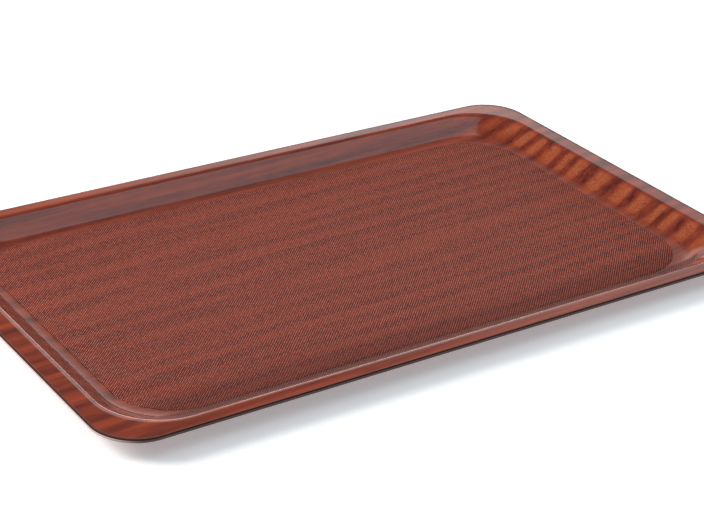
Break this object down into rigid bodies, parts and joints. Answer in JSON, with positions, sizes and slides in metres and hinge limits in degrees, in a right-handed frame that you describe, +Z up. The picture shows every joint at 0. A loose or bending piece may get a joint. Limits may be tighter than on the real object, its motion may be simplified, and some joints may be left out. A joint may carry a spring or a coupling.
{
  "type": "serving tray",
  "caption": "Rectangular pressed wood-laminate serving tray with rounded corners, a flat lip, a shallow sloping-sided well and a slip-resistant floor.",
  "frame": {"origin": "middle of the flat underside, where the tray rests", "axes": "+X along the tray's length, +Y across its width, +Z up out of the well"},
  "size_m": [0.53, 0.325, 0.015],
  "materials": {
    "clear_film": "clear gloss resin film that takes the colour of the veneer under it",
    "mahogany_veneer": "ribbon-striped red-brown mahogany veneer",
    "crossband_wood": "resin-soaked crossband, dark brown",
    "core_wood": "pale brown beech core",
    "back_film": "clear satin resin film that takes the colour of the veneer over it",
    "edge_sealer": "dark brown sealer, satin",
    "grip_coating": "clear slip-resistant coat with a fine woven texture, satin"
  },
  "bodies": {
    "root": {"top_overlay": "clear_film", "face_veneer": "mahogany_veneer", "upper_crossband": "crossband_wood", "core_ply": "core_wood", "lower_crossband": "crossband_wood", "back_veneer": "mahogany_veneer", "bottom_overlay": "back_film", "edge_seal": "edge_sealer", "grip_coat": "grip_coating"}
  },
  "joints": []
}
